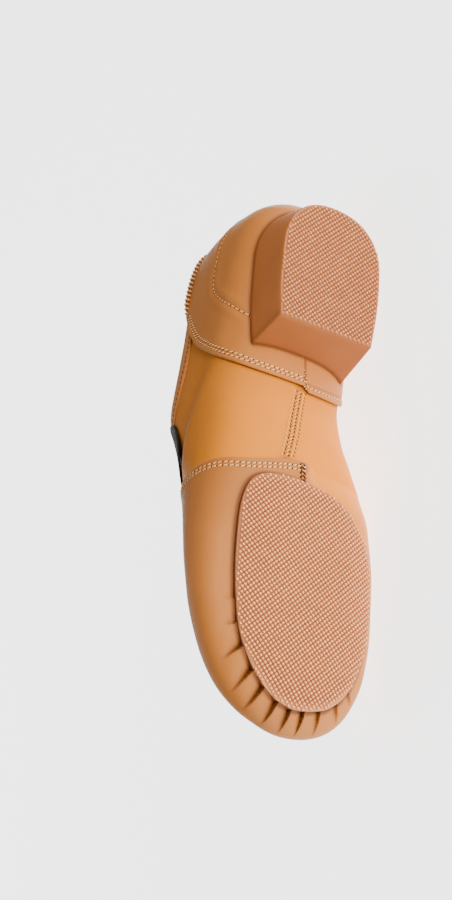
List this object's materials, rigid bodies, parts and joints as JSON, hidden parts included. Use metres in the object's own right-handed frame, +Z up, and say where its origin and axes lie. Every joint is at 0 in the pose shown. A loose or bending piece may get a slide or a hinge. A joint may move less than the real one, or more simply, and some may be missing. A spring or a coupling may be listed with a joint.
{
  "type": "split-sole dance shoe",
  "caption": "Soft slip-on dance shoe in tan leather with an elastic instep, a low block heel and a split sole of separate knurled rubber treads, lying on its inner side.",
  "frame": {"origin": "on the floor, under the middle of the box of the shoe as it lies on its inner side", "axes": "+Z up, towards the shoe's outer side; -X towards the toe; -Y the way the sole faces, so the collar opens towards +Y"},
  "size_m": [0.2486, 0.0938, 0.0882],
  "materials": {
    "tan_leather": "smooth tan leather with a satin gloss and fine grain",
    "arch_leather": "thin stretch leather, a little brighter and glossier than the panels",
    "sole_rubber": "matt brown-pink rubber with a fine knurl on the treads",
    "dark_elastic": "near-black ribbed elastic",
    "insole_fabric": "matt beige lining"
  },
  "bodies": {
    "root": {"upper": "arch_leather", "vamp": "tan_leather", "heel_panel": "tan_leather", "gore": "dark_elastic", "forefoot_tread": "sole_rubber", "heel": "sole_rubber", "insole": "insole_fabric"}
  },
  "joints": []
}
